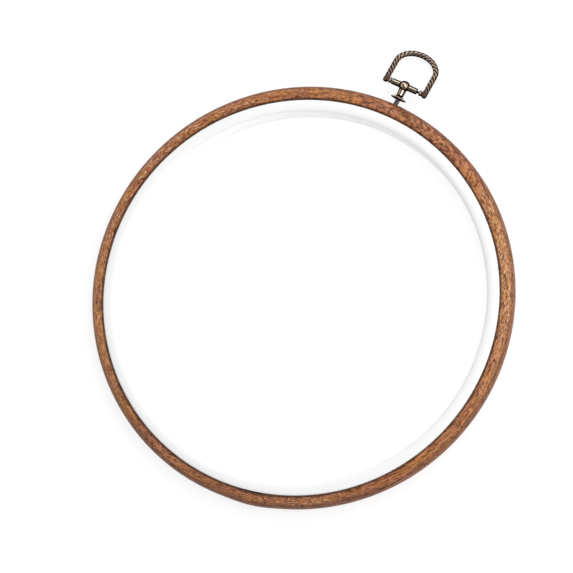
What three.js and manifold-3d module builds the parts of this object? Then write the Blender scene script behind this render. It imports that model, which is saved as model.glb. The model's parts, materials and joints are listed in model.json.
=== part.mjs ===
// Flexible embroidery hoop, drawn in millimetres.
// It lies on its back: +Z is the front of the hoop, and the hanger points along +Y.
// A soft grained outer ring is pressed over a rigid inner ring. A cast hanger screws into
// the outer ring and carries a loop of twisted wire that swings in a cross tube.

import * as THREE from 'three';
import { mergeVertices } from 'three/addons/utils/BufferGeometryUtils.js';
import Module from 'manifold-3d';

const wasm = await Module();
wasm.setup();

// Outer ring
const hoopRadius = 90;           // to its widest point
const outerRingWidth = 5.85;     // from the bore to the widest point
const outerRingHeight = 8.6;     // from back to front
const outerCrownReach = 3.6;     // how far the rounded outer side comes in over the front
const outerEdgeRadius = 0.5;     // at both mouths of the bore
const grooveDepth = 0.4;         // round the middle of the bore
const grooveHeight = 2.2;

// Inner ring
const clothGap = 0.4;            // between the two rings, where the cloth is held
const innerRingWidth = 5.1;      // from its bore to its outer wall
const innerRingProud = 0.2;      // how far its front stands above the outer ring
const innerCrownRise = 1.5;      // height of the rounded front
const innerEdgeBevel = 0.35;     // at the back edges
const lipHeight = 0.8;           // thickness of the foot that the outer ring rests on
const lipReach = 1.7;            // how far that foot comes out under the outer ring
const ribClearance = 0.15;       // from the locking rib to the bore of the outer ring
const ribHeight = 1.5;

// Hanger, with distances along its stem counted from the widest point of the outer ring
const flangeLevel = 2.4;         // underside of the flange
const flangeRadius = 3.45;
const flangeThickness = 1.55;
const flangeRimLevel = 0.33;     // underside of its thin rim, above the flange's own underside
const flangeRimThickness = 0.3;
const flangeTopStep = 0.1;       // small step where the slope of the flange ends
const neckWall = 0.25;           // left round the shank in the groove above the flange
const neckGrooveDepth = 0.32;
const neckGrooveHeight = 0.35;
const neckLength = 2.77;         // from the groove to the ball
const neckTopRadius = 1.7;
const ballRadius = 2.35;
const tubeRadius = 1.33;
const tubeHalfLength = 5.85;
const tubeMouthBevel = 0.15;

// Threaded stem
const threadCrestRadius = 1.1;
const threadDepth = 0.3;
const threadPitch = 1.0;
const stemTipLength = 0.8;
const stemTipRadius = 0.2;
const stemBackWall = 0.6;        // left between the stem's hole and the groove in the bore
const shankEmbedment = 3.2;      // length of plain shank inside the hanger's head
const stemClearance = 0.25;
const shankClearance = 0.2;

// Loop
const loopEndPlay = 1.2;         // how far it can slide along the cross tube in all
const loopSideGap = 0.18;        // left between bead and tube on the side it has slid to
const loopLegLength = 9.4;       // straight run of each leg above the hinge
const loopArchRise = 6.7;        // from the end of the legs to the middle of the arch
const loopFootDrop = 1.25;       // how far the feet reach below the hinge
const legWireRadius = 1.12;
const archWireRadius = 1.2;
const strandDepth = 0.17;        // depth of the valleys between strands
const strandCount = 4;
const strandPitch = 1.8;         // from one strand to the next along the wire
const footBeadRadius = 1.2;
const footBeadLength = 1.4;
const footBeadBevel = 0.22;
const pinRadius = 0.52;
const pinLength = 2.4;           // length inside the cross tube with the loop centred
const pinTipBevel = 0.1;
const pinClearance = 0.2;
const pinEndClearance = 0.27;    // between the pin's tip and the bottom of its bore
const surfaceClearance = 0.05;   // under the loop where it has dropped to the table

// How far a cutting solid runs past the face that it opens
const cutOverrun = 1;

// Vertices closer than this are one, when a geometry becomes a solid
const mergeTolerance = 1e-5;

// Facets
const ringFacets = 120;
const turnedFacets = 28;
const wireFacets = 12;
const wireStep = 0.56;
const threadFacets = 14;
const threadStepsPerTurn = 6;
const edgeArcSteps = 2;
const ringCrownSteps = 10;
const innerCrownSteps = 8;
const ballArcSteps = 8;
const ballPoleAngle = 80;        // where the last facet before the ball's pole starts
const neckJoinShare = 0.95;      // most of the ball's radius that the neck may join at

// Places worked out from those sizes
const outerBoreRadius = hoopRadius - outerRingWidth;
const outerRingBack = lipHeight;
const outerRingFront = outerRingBack + outerRingHeight;
const middleLevel = outerRingBack + outerRingHeight / 2;
const innerWallRadius = outerBoreRadius - clothGap;
const innerBoreRadius = innerWallRadius - innerRingWidth;
const innerRingFront = outerRingFront + innerRingProud;
const ribProud = clothGap - ribClearance;
const edgeBevel = Math.min(innerEdgeBevel, lipHeight / 2);
const crownReach = Math.min(outerCrownReach, outerRingWidth - outerEdgeRadius);
const stemEmbedment = outerRingWidth - grooveDepth - stemBackWall - stemClearance;
const shankRadius = threadCrestRadius - threadDepth;
const neckGrooveRadius = shankRadius + shankClearance + neckWall;
const neckFootRadius = neckGrooveRadius + neckGrooveDepth;
const neckJoinRadius = Math.min(neckTopRadius, neckJoinShare * ballRadius);
const neckJoinDrop = Math.sqrt(ballRadius ** 2 - neckJoinRadius ** 2);
const flangeTopLevel = flangeLevel + flangeThickness;
const hingeLevel = flangeTopLevel + neckGrooveHeight + neckLength + neckJoinDrop;
const hingeRadius = hoopRadius + hingeLevel;
const tubeBoreDepth = pinLength + loopEndPlay / 2 + pinEndClearance;
const loopInnerHalfWidth = tubeHalfLength + footBeadLength + loopEndPlay / 2;
const loopShift = loopEndPlay / 2 - loopSideGap;
const loopCentreHalfWidth = loopInnerHalfWidth + legWireRadius;
const loopReach = loopLegLength + loopArchRise;
const loopDroop = Math.asin((middleLevel - archWireRadius - surfaceClearance) / loopReach);

// Points of an arc in a section, with angles in degrees
function arc(centreX, centreY, radiusX, radiusY, fromAngle, toAngle, steps) {
  const points = [];
  for (let step = 0; step <= steps; step += 1) {
    const angle = THREE.MathUtils.degToRad(fromAngle + ((toAngle - fromAngle) * step) / steps);
    points.push(new THREE.Vector2(centreX + radiusX * Math.cos(angle), centreY + radiusY * Math.sin(angle)));
  }
  return points;
}

function point(x, y) {
  return new THREE.Vector2(x, y);
}

// A ring about Z from a closed section, given as radius and height
function turnedRing(section) {
  const closed = [...section, section[0].clone()];
  return new THREE.LatheGeometry(closed, ringFacets).rotateX(Math.PI / 2);
}

// A solid about Y from a profile that starts and ends on the axis
function turnedAlongY(profile) {
  return new THREE.LatheGeometry(profile, turnedFacets);
}

// A solid about X from a profile that starts and ends on the axis
function turnedAlongX(profile) {
  return new THREE.LatheGeometry(profile, turnedFacets).rotateZ(-Math.PI / 2);
}

// A closed rod through a list of frames, each with a centre, a side and an up direction.
// radiusAt gives the surface's distance from the centre at one corner of one frame.
function rod(frames, corners, radiusAt) {
  const positions = [];
  const indices = [];
  for (const [step, frame] of frames.entries()) {
    for (let corner = 0; corner < corners; corner += 1) {
      const angle = frame.turn + (2 * Math.PI * corner) / corners;
      const radius = radiusAt(corner, step);
      const place = frame.centre.clone();
      place.addScaledVector(frame.side, radius * Math.cos(angle));
      place.addScaledVector(frame.up, radius * Math.sin(angle));
      positions.push(place.x, place.y, place.z);
    }
  }
  for (let step = 0; step < frames.length - 1; step += 1) {
    for (let corner = 0; corner < corners; corner += 1) {
      const next = (corner + 1) % corners;
      const here = step * corners;
      const there = here + corners;
      indices.push(here + corner, here + next, there + next);
      indices.push(here + corner, there + next, there + corner);
    }
  }
  const lastRing = (frames.length - 1) * corners;
  for (let corner = 1; corner < corners - 1; corner += 1) {
    indices.push(0, corner + 1, corner);
    indices.push(lastRing, lastRing + corner, lastRing + corner + 1);
  }
  const geometry = new THREE.BufferGeometry();
  geometry.setAttribute('position', new THREE.Float32BufferAttribute(positions, 3));
  geometry.setIndex(indices);
  return geometry;
}

function solidFrom(geometry) {
  const bare = geometry.clone();
  bare.deleteAttribute('normal');
  bare.deleteAttribute('uv');
  const merged = mergeVertices(bare, mergeTolerance);
  return new wasm.Manifold(new wasm.Mesh({
    numProp: 3,
    vertProperties: new Float32Array(merged.attributes.position.array),
    triVerts: new Uint32Array(merged.index.array),
  }));
}

function geometryFrom(solid) {
  const mesh = solid.getMesh();
  const geometry = new THREE.BufferGeometry();
  geometry.setAttribute('position', new THREE.BufferAttribute(new Float32Array(mesh.vertProperties), 3));
  geometry.setIndex(new THREE.BufferAttribute(new Uint32Array(mesh.triVerts), 1));
  geometry.computeVertexNormals();
  return geometry;
}

function piece(name, geometry, material) {
  const mesh = new THREE.Mesh(geometry, material);
  mesh.name = name;
  return mesh;
}

// Outer ring: flat bore with a groove, rounded outside, and a blind hole for the stem
function outerRingGeometry() {
  const crownCentre = hoopRadius - crownReach;
  const edge = outerEdgeRadius;
  const grooveTop = middleLevel + grooveHeight / 2;
  const grooveFoot = middleLevel - grooveHeight / 2;
  const section = [
    ...arc(outerBoreRadius + edge, outerRingBack + edge, edge, edge, 180, 270, edgeArcSteps),
    ...arc(crownCentre, middleLevel, crownReach, outerRingHeight / 2, -90, 90, ringCrownSteps),
    ...arc(outerBoreRadius + edge, outerRingFront - edge, edge, edge, 90, 180, edgeArcSteps),
    point(outerBoreRadius, grooveTop),
    point(outerBoreRadius + grooveDepth, grooveTop - grooveDepth),
    point(outerBoreRadius + grooveDepth, grooveFoot + grooveDepth),
    point(outerBoreRadius, grooveFoot),
  ];
  const holeRadius = threadCrestRadius + stemClearance;
  const holeDepth = stemEmbedment + stemClearance;
  const hole = turnedAlongY([
    point(0, hoopRadius - holeDepth),
    point(holeRadius, hoopRadius - holeDepth),
    point(holeRadius, hoopRadius + cutOverrun),
    point(0, hoopRadius + cutOverrun),
  ]).translate(0, 0, middleLevel);
  return geometryFrom(solidFrom(turnedRing(section)).subtract(solidFrom(hole)));
}

// Inner ring: flat back, foot under the outer ring, locking rib, and a rounded front
function innerRingGeometry() {
  const bevel = edgeBevel;
  const crownCentre = innerBoreRadius + innerRingWidth / 2;
  const crownFoot = innerRingFront - innerCrownRise;
  const lipRadius = innerWallRadius + lipReach;
  const ribTop = middleLevel + ribHeight / 2;
  const ribFoot = middleLevel - ribHeight / 2;
  const section = [
    point(innerBoreRadius + bevel, 0),
    point(lipRadius - bevel, 0),
    point(lipRadius, bevel),
    point(lipRadius, lipHeight),
    point(innerWallRadius, lipHeight),
    point(innerWallRadius, ribFoot),
    point(innerWallRadius + ribProud, ribFoot + ribProud),
    point(innerWallRadius + ribProud, ribTop - ribProud),
    point(innerWallRadius, ribTop),
    ...arc(crownCentre, crownFoot, innerRingWidth / 2, innerCrownRise, 0, 180, innerCrownSteps),
    point(innerBoreRadius, bevel),
  ];
  return turnedRing(section);
}

// Hanger's head: flange, groove, neck, ball and cross tube, with the stem's hole and the
// two pin bores. Its own origin is at the hinge, with the stem towards -Y.
function hangerHeadGeometry() {
  const flangeFoot = flangeLevel - hingeLevel;
  const flangeTop = flangeTopLevel - hingeLevel;
  const neckFoot = flangeTop + neckGrooveHeight;
  const joinAngle = THREE.MathUtils.radToDeg(Math.atan2(-neckJoinDrop, neckJoinRadius));
  const flangeNeckAndBall = turnedAlongY([
    point(0, flangeFoot),
    point(threadCrestRadius, flangeFoot),
    point(flangeRadius, flangeFoot + flangeRimLevel),
    point(flangeRadius, flangeFoot + flangeRimLevel + flangeRimThickness),
    point(neckFootRadius, flangeTop - flangeTopStep),
    point(neckGrooveRadius, flangeTop),
    point(neckGrooveRadius, neckFoot),
    point(neckFootRadius, neckFoot),
    ...arc(0, 0, ballRadius, ballRadius, joinAngle, ballPoleAngle, ballArcSteps),
    point(0, ballRadius),
  ]);
  const crossTube = turnedAlongX([
    point(0, -tubeHalfLength),
    point(tubeRadius - tubeMouthBevel, -tubeHalfLength),
    point(tubeRadius, -tubeHalfLength + tubeMouthBevel),
    point(tubeRadius, tubeHalfLength - tubeMouthBevel),
    point(tubeRadius - tubeMouthBevel, tubeHalfLength),
    point(0, tubeHalfLength),
  ]);
  const stemHole = turnedAlongY([
    point(0, flangeFoot - cutOverrun),
    point(shankRadius + shankClearance, flangeFoot - cutOverrun),
    point(shankRadius + shankClearance, flangeFoot + shankEmbedment + shankClearance),
    point(0, flangeFoot + shankEmbedment + shankClearance),
  ]);
  const pinBore = turnedAlongX([
    point(0, tubeHalfLength - tubeBoreDepth),
    point(pinRadius + pinClearance, tubeHalfLength - tubeBoreDepth),
    point(pinRadius + pinClearance, tubeHalfLength + cutOverrun),
    point(0, tubeHalfLength + cutOverrun),
  ]);
  const head = solidFrom(flangeNeckAndBall)
    .add(solidFrom(crossTube))
    .subtract(solidFrom(stemHole))
    .subtract(solidFrom(pinBore))
    .subtract(solidFrom(pinBore.clone().rotateZ(Math.PI)));
  return geometryFrom(head);
}

// Stem: a coarse right-handed thread with a pointed end, and a plain shank into the head.
// Its own origin is at the hinge, like the head's.
function hangerStemGeometry() {
  const shankTop = flangeLevel - hingeLevel + shankEmbedment;
  const threadTop = flangeLevel - hingeLevel - shankClearance;
  const tip = -hingeLevel - stemEmbedment;
  const rise = threadPitch / threadStepsPerTurn;
  const levels = [tip];
  for (let level = tip + rise; level < threadTop - rise / 2; level += rise) {
    levels.push(level);
  }
  levels.push(threadTop, threadTop, shankTop);
  const shankStart = levels.length - 2;
  const frames = levels.map((level) => ({
    centre: new THREE.Vector3(0, level, 0),
    side: new THREE.Vector3(0, 0, 1),
    up: new THREE.Vector3(1, 0, 0),
    turn: 0,
  }));
  return rod(frames, threadFacets, (corner, step) => {
    if (step >= shankStart) {
      return shankRadius;
    }
    const phase = 2 * Math.PI * (levels[step] / threadPitch - corner / threadFacets);
    const ridge = threadDepth * (0.5 + 0.5 * Math.cos(phase));
    const taper = Math.min(1, (levels[step] - tip) / stemTipLength);
    return THREE.MathUtils.lerp(stemTipRadius, shankRadius + ridge, taper);
  });
}

// Loop: a bow of twisted strands with plain feet, a bead and a pin on each side.
// Its own origin is at the hinge, with the arch towards +Y.
function hangerLoopGeometry() {
  const bow = new THREE.Path();
  bow.moveTo(-loopCentreHalfWidth, -loopFootDrop);
  bow.lineTo(-loopCentreHalfWidth, loopLegLength);
  bow.absellipse(0, loopLegLength, loopCentreHalfWidth, loopArchRise, Math.PI, 0, true);
  bow.lineTo(loopCentreHalfWidth, -loopFootDrop);
  const bowLength = bow.getLength();
  const steps = Math.round(bowLength / wireStep);
  const plainLength = loopFootDrop + footBeadRadius;
  const frames = [];
  for (let step = 0; step <= steps; step += 1) {
    const share = step / steps;
    const place = bow.getPointAt(share);
    const along = bow.getTangentAt(share);
    frames.push({
      centre: new THREE.Vector3(place.x, place.y, 0),
      side: new THREE.Vector3(-along.y, along.x, 0),
      up: new THREE.Vector3(0, 0, 1),
      turn: (-2 * Math.PI * share * bowLength) / (strandCount * strandPitch),
    });
  }
  const cornersPerStrand = wireFacets / strandCount;
  const wire = rod(frames, wireFacets, (corner, step) => {
    const fromEnd = Math.min(step, steps - step) * (bowLength / steps);
    const twist = THREE.MathUtils.smoothstep(fromEnd, plainLength, plainLength + strandPitch);
    const swell = THREE.MathUtils.smoothstep(fromEnd, plainLength, bowLength / 2);
    const crest = THREE.MathUtils.lerp(legWireRadius, archWireRadius, swell);
    const valley = 0.5 - 0.5 * Math.cos((2 * Math.PI * corner) / cornersPerStrand);
    return crest - strandDepth * valley * twist;
  });
  let loop = solidFrom(wire);
  const beadStart = loopInnerHalfWidth - footBeadLength;
  const foot = turnedAlongX([
    point(0, tubeHalfLength - pinLength),
    point(pinRadius - pinTipBevel, tubeHalfLength - pinLength),
    point(pinRadius, tubeHalfLength - pinLength + pinTipBevel),
    point(pinRadius, beadStart),
    point(footBeadRadius - footBeadBevel, beadStart),
    point(footBeadRadius, beadStart + footBeadBevel),
    point(footBeadRadius, loopCentreHalfWidth),
    point(0, loopCentreHalfWidth),
  ]);
  loop = loop.add(solidFrom(foot)).add(solidFrom(foot.clone().rotateZ(Math.PI)));
  return geometryFrom(loop);
}

const grainedVinyl = new THREE.MeshStandardMaterial({ color: 0x9c6238, roughness: 0.5, metalness: 0 });
const whitePlastic = new THREE.MeshStandardMaterial({ color: 0xf2f3f4, roughness: 0.4, metalness: 0 });
const castBrass = new THREE.MeshStandardMaterial({ color: 0x5c4a36, roughness: 0.35, metalness: 1 });
const stemSteel = new THREE.MeshStandardMaterial({ color: 0x56504b, roughness: 0.45, metalness: 1 });
const loopBrass = new THREE.MeshStandardMaterial({ color: 0x524435, roughness: 0.42, metalness: 1 });

const rings = new THREE.Group();
rings.add(piece('inner_ring', innerRingGeometry(), whitePlastic));
rings.add(piece('outer_ring', outerRingGeometry(), grainedVinyl));

const loopHinge = new THREE.Group();
loopHinge.position.x = loopShift;
loopHinge.rotation.x = -loopDroop;
loopHinge.add(piece('hanger_loop', hangerLoopGeometry(), loopBrass));

const hanger = new THREE.Group();
hanger.position.set(0, hingeRadius, middleLevel);
hanger.add(piece('hanger_head', hangerHeadGeometry(), castBrass));
hanger.add(piece('hanger_stem', hangerStemGeometry(), stemSteel));
hanger.add(loopHinge);

// The origin is under the middle of the whole object, on the surface that it lies on
const assembly = new THREE.Group();
assembly.add(rings, hanger);
assembly.updateMatrixWorld(true);
const extent = new THREE.Box3().setFromObject(assembly, true);
assembly.position.y = -(extent.min.y + extent.max.y) / 2;

const embroideryHoop = new THREE.Group();
embroideryHoop.add(assembly);
embroideryHoop.updateMatrixWorld(true);

export default embroideryHoop;
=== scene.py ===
import json
import math
import bmesh
import bpy
from mathutils import Matrix, Vector, noise


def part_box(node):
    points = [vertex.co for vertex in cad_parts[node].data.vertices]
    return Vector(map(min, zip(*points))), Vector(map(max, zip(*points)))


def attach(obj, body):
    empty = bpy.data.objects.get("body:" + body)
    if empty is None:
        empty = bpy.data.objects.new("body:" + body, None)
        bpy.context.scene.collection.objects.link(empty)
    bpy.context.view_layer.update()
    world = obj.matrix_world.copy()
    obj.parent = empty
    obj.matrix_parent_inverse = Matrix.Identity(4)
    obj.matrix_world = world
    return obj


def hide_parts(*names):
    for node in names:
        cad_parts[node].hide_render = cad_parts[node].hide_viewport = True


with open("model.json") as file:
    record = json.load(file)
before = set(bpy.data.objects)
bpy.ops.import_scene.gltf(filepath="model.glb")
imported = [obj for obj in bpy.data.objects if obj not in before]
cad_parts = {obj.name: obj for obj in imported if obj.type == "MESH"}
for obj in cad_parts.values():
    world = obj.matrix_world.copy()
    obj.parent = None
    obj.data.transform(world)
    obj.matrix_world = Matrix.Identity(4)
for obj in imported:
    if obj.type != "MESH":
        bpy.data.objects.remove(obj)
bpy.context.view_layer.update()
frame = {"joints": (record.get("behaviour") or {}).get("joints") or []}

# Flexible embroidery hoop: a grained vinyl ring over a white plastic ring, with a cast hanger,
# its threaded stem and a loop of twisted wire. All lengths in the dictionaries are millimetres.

mm = 0.001
overshoot = 1 * mm          # how far a cutter runs past the face that it opens
mergeReach = 0.001 * mm     # points of a turned shape that lie nearer than this become one

ringLow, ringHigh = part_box("outer_ring")
innerLow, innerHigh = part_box("inner_ring")
hoopCentre = (ringLow + ringHigh) / 2
hoopRadius = (ringHigh.x - ringLow.x) / 2
loopJoint = [joint for joint in frame["joints"] if joint["name"] == "loop_swing"][0]
hinge = Vector(loopJoint["pos_m"])
print("frame loaded, hoop radius", round(hoopRadius / mm, 2), "mm")


# Colours are written as sRGB hex and handed to the nodes as linear values
def linearColour(hexText):
    shares = [int(hexText[start:start + 2], 16) / 255 for start in (1, 3, 5)]
    flat = [s / 12.92 if s <= 0.04045 else ((s + 0.055) / 1.055) ** 2.4 for s in shares]
    return (*flat, 1.0)


# One node with its settings and its inputs, each a value or another node's output. Gives back
# the node, or the one output that is asked for.
def addNode(tree, kind, settings=None, inputs=None, out=None):
    node = tree.nodes.new("ShaderNode" + kind)
    for name, value in (settings or {}).items():
        if name == "stops":
            ramp = node.color_ramp
            while len(ramp.elements) < len(value):
                ramp.elements.new(1.0)
            for element, (place, colour) in zip(ramp.elements, value):
                element.position = place
                element.color = linearColour(colour) if isinstance(colour, str) else (*colour, 1.0)
        else:
            setattr(node, name, value)
    for name, value in (inputs or {}).items():
        if isinstance(value, bpy.types.NodeSocket):
            tree.links.new(value, node.inputs[name])
        else:
            node.inputs[name].default_value = value
    return node if out is None else node.outputs[out]


# Settings that many nodes share
add = {"operation": "ADD"}
subtract = {"operation": "SUBTRACT"}
multiply = {"operation": "MULTIPLY"}
multiplyAdd = {"operation": "MULTIPLY_ADD"}
maximum = {"operation": "MAXIMUM"}
absolute = {"operation": "ABSOLUTE"}
softStep = {"interpolation_type": "SMOOTHSTEP"}
mixColours = {"data_type": "RGBA"}
mixValues = {"data_type": "FLOAT"}


def newMaterial(name):
    material = bpy.data.materials.new(name)
    material.use_nodes = True
    material.node_tree.nodes.clear()
    return material, material.node_tree


# Sections and turned shapes

# A run of points in the XZ plane. A corner is (x, z) and an arc is
# (centreX, centreZ, radiusX, radiusZ, fromDegrees, toDegrees, steps), spun from its first point.
def addRun(bm, run, closed):
    first = last = None
    for entry in run:
        if len(entry) == 2:
            start = end = bm.verts.new((entry[0], 0, entry[1]))
        else:
            centreX, centreZ, radiusX, radiusZ, fromAngle, toAngle, steps = entry
            angle = math.radians(fromAngle)
            centre = Vector((centreX, 0, centreZ))
            before = len(bm.verts)
            start = bm.verts.new(centre + Vector((math.cos(angle), 0, math.sin(angle))) * radiusZ)
            turned = bmesh.ops.spin(
                bm, geom=[start], cent=centre, axis=(0, -1, 0), dvec=(0, 0, 0),
                angle=math.radians(toAngle - fromAngle), steps=steps, use_duplicate=False)
            end = [part for part in turned["geom_last"] if isinstance(part, bmesh.types.BMVert)][0]
            bm.verts.ensure_lookup_table()
            bmesh.ops.scale(
                bm, vec=(radiusX / radiusZ, 1, 1), space=Matrix.Translation(-centre), verts=bm.verts[before:])
        if last:
            bm.edges.new((last, start))
        first = first or start
        last = end
    if closed:
        bm.edges.new((last, first))


# A full turn of that run about an axis through the origin
def turnRun(bm, axis, steps):
    bmesh.ops.spin(
        bm, geom=bm.verts[:] + bm.edges[:], cent=(0, 0, 0), axis=axis, dvec=(0, 0, 0),
        angle=2 * math.pi, steps=steps, use_merge=True, use_duplicate=False)
    bmesh.ops.remove_doubles(bm, verts=bm.verts, dist=mergeReach)
    bmesh.ops.recalc_face_normals(bm, faces=bm.faces)


def turnAll(bm, degrees, axis):
    matrix = Matrix.Rotation(math.radians(degrees), 3, axis)
    bmesh.ops.rotate(bm, cent=(0, 0, 0), matrix=matrix, verts=bm.verts)


def moveAll(bm, way):
    bmesh.ops.translate(bm, vec=way, verts=bm.verts)


def passingObject(name, bm):
    mesh = bpy.data.meshes.new(name)
    bm.to_mesh(mesh)
    bm.free()
    made = bpy.data.objects.new(name, mesh)
    bpy.context.scene.collection.objects.link(made)
    return made


# Makes the finished piece: its place goes into the mesh, and it rides and replaces
def finishPiece(name, bm, body, node, material):
    made = passingObject(name, bm)
    made.data.shade_smooth()
    made.data.materials.append(material)
    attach(made, body)
    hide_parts(node)
    print(name, "has", len(made.data.polygons), "faces")


# Applies modifiers through a passing object and gives back a bmesh
def shaped(bm, addModifiers):
    passing = passingObject("passing", bm)
    helpers = addModifiers(passing) or []
    depsgraph = bpy.context.evaluated_depsgraph_get()
    result = bmesh.new()
    result.from_mesh(passing.evaluated_get(depsgraph).to_mesh())
    for thing in [passing, *helpers]:
        bpy.data.objects.remove(thing)
    return result


def addBoolean(passing, helper, operation):
    modifier = passing.modifiers.new(helper.name, "BOOLEAN")
    modifier.operation = operation
    modifier.solver = "EXACT"
    modifier.object = helper
    return helper


def smoothShare(value, low, high):
    share = min(max((value - low) / (high - low), 0), 1)
    return share * share * (3 - 2 * share)


# Camera, first because everything is judged through it

cameraSettings = {
    "distance": 1600,       # from the middle of the hoop; a long lens
    "tilt": 15.1,           # degrees off square to the hoop
    "tiltTowards": 46,      # degrees below image right, the side that the camera stands on
    "hangerTurn": 25.4,     # degrees that the hanger points to the right of image up
    "scale": 2.388,         # pixels per millimetre at the middle of the hoop
    "imageWidth": 573,
    "centreRight": 6.49,    # how far the hoop's middle lies right of the image's
    "centreBelow": 4.0,
    "sensor": 36,
    "clipStart": 50,
    "clipEnd": 20000,
}


# Level directions that point right and up in the image, seen from straight above
def levelWays():
    turn = math.radians(cameraSettings["hangerTurn"])
    right = Vector((math.cos(turn), math.sin(turn), 0))
    return right, Vector((-right.y, right.x, 0))


def makeCamera(settings):
    flatRight, flatUp = levelWays()
    towards = math.radians(settings["tiltTowards"])
    tilt = math.radians(settings["tilt"])
    lean = math.cos(towards) * flatRight - math.sin(towards) * flatUp
    across = -math.sin(towards) * flatRight - math.cos(towards) * flatUp
    back = math.cos(tilt) * Vector((0, 0, 1)) + math.sin(tilt) * lean
    slope = math.cos(tilt) * lean - math.sin(tilt) * Vector((0, 0, 1))
    right = slope * math.cos(towards) - across * math.sin(towards)
    up = -(slope * math.sin(towards) + across * math.cos(towards))
    data = bpy.data.cameras.new("photoCamera")
    data.sensor_width = settings["sensor"]
    data.lens = settings["scale"] * settings["distance"] / settings["imageWidth"] * settings["sensor"]
    data.clip_start = settings["clipStart"] * mm
    data.clip_end = settings["clipEnd"] * mm
    camera = bpy.data.objects.new("photoCamera", data)
    bpy.context.scene.collection.objects.link(camera)
    place = hoopCentre + back * settings["distance"] * mm
    place += (up * settings["centreBelow"] - right * settings["centreRight"]) * mm
    turned = Matrix((right, up, back)).transposed().to_4x4()
    camera.matrix_world = Matrix.Translation(place) @ turned
    bpy.context.scene.camera = camera


makeCamera(cameraSettings)
print("camera made")


# Grained vinyl ring

ringSettings = {
    "width": 5.85,          # from the bore to the widest point
    "crownReach": 3.6,      # how far the rounded side comes in over the front
    "edgeRadius": 0.5,
    "grooveDepth": 0.4,
    "grooveHeight": 2.2,
    "crownSteps": 34,
    "flatSteps": 5,         # across the narrow flat between the crown and the inner edge
    "turnSteps": 900,
    "seamAngle": -41.6,     # degrees about the hoop, where the profile's ends are joined
    "stemHoleRadius": 1.13,
    "stemHoleDepth": 4.85,
    "holeSteps": 32,
    "grainDepth": 0.07,     # of the pressed grain that the mesh carries
    "grainLength": 9,
    "grainWidth": 0.95,
    "grainSeed": 7.1,
    "fineLength": 2.6,
    "fineWidth": 0.6,
    "fineShare": 0.6,       # of the fine grain, against the coarse
    "fineSeed": 1.9,
    "grainStart": 0.5,      # across the section from the front inner edge: the grain begins,
    "grainFull": 1.1,       # has its whole depth,
    "grainFade": 6.2,       # begins to fade down the side
    "grainEnd": 7.0,        # and is gone
    "backLimit": -0.2,      # below this share of a normal's Z lies the back, which stays plain
    "sag": 0.09,            # slow unevenness of the soft profile
    "sagLength": 38,
    "sagSeed": 3.3,
    "sagStart": 2.5,        # across the section, where it begins and where it is whole
    "sagFull": 6.0,
    "looseAngle": 324.5,    # degrees from the seam, where the soft ring stands off the white one
    "looseHalf": 9,
    "looseReach": 0.4,
    "settle": 0.7,          # how far the bore lies off the outside's middle, away from the hanger
    "settleStart": 1,       # across the section, from the bore, where that begins to fade
    "settleEnd": 5,
}


# Lays the ring's own map: u runs along the ring and v across its section from the front
# inner edge outwards, both in metres, so that the grain keeps its real size
def mapAlongRing(bm, frontEdge, seam):
    layer = bm.loops.layers.uv.new("alongRing")
    for face in bm.faces:
        middle = face.calc_center_median()
        faceAngle = (math.atan2(middle.y, middle.x) - seam) % (2 * math.pi)
        for loop in face.loops:
            spot = loop.vert.co
            angle = math.atan2(spot.y, spot.x) - seam
            angle += 2 * math.pi * round((faceAngle - angle) / (2 * math.pi))
            reach = math.hypot(spot.x, spot.y) - frontEdge[0]
            drop = frontEdge[1] - spot.z
            loop[layer].uv = (angle * hoopRadius, reach + drop)


# Presses the grain into the front and the rounded side, and lets the soft profile waver
def pressGrain(bm, settings, frontEdge, seam):
    bm.normal_update()
    for vert in bm.verts:
        spot = vert.co
        along = ((math.atan2(spot.y, spot.x) - seam) % (2 * math.pi)) * hoopRadius / mm
        across = (math.hypot(spot.x, spot.y) - frontEdge[0] + frontEdge[1] - spot.z) / mm
        if vert.normal.z < settings["backLimit"]:
            continue
        window = smoothShare(across, settings["grainStart"], settings["grainFull"])
        window *= 1 - smoothShare(across, settings["grainFade"], settings["grainEnd"])
        slow = noise.noise(Vector((along / settings["sagLength"], 0, settings["sagSeed"])))
        coarse = noise.noise(Vector((
            along / settings["grainLength"], across / settings["grainWidth"], settings["grainSeed"])))
        fine = noise.noise(Vector((
            along / settings["fineLength"], across / settings["fineWidth"], settings["fineSeed"])))
        lift = slow * settings["sag"] * smoothShare(across, settings["sagStart"], settings["sagFull"])
        grain = coarse + settings["fineShare"] * fine
        lift += (grain - 0.5) * 0.5 * settings["grainDepth"] * window
        vert.co += vert.normal * lift * mm
    for vert in bm.verts:
        angle = math.degrees(math.atan2(vert.co.y, vert.co.x) - seam) % 360
        loose = 1 - smoothShare(abs(angle - settings["looseAngle"]), 0, settings["looseHalf"])
        outwards = Vector((vert.co.x, vert.co.y, 0)).normalized()
        vert.co += outwards * settings["looseReach"] * loose * mm
        reach = (math.hypot(vert.co.x, vert.co.y) - frontEdge[0]) / mm
        settled = 1 - smoothShare(reach, settings["settleStart"], settings["settleEnd"])
        vert.co.y -= settings["settle"] * settled * mm


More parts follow.
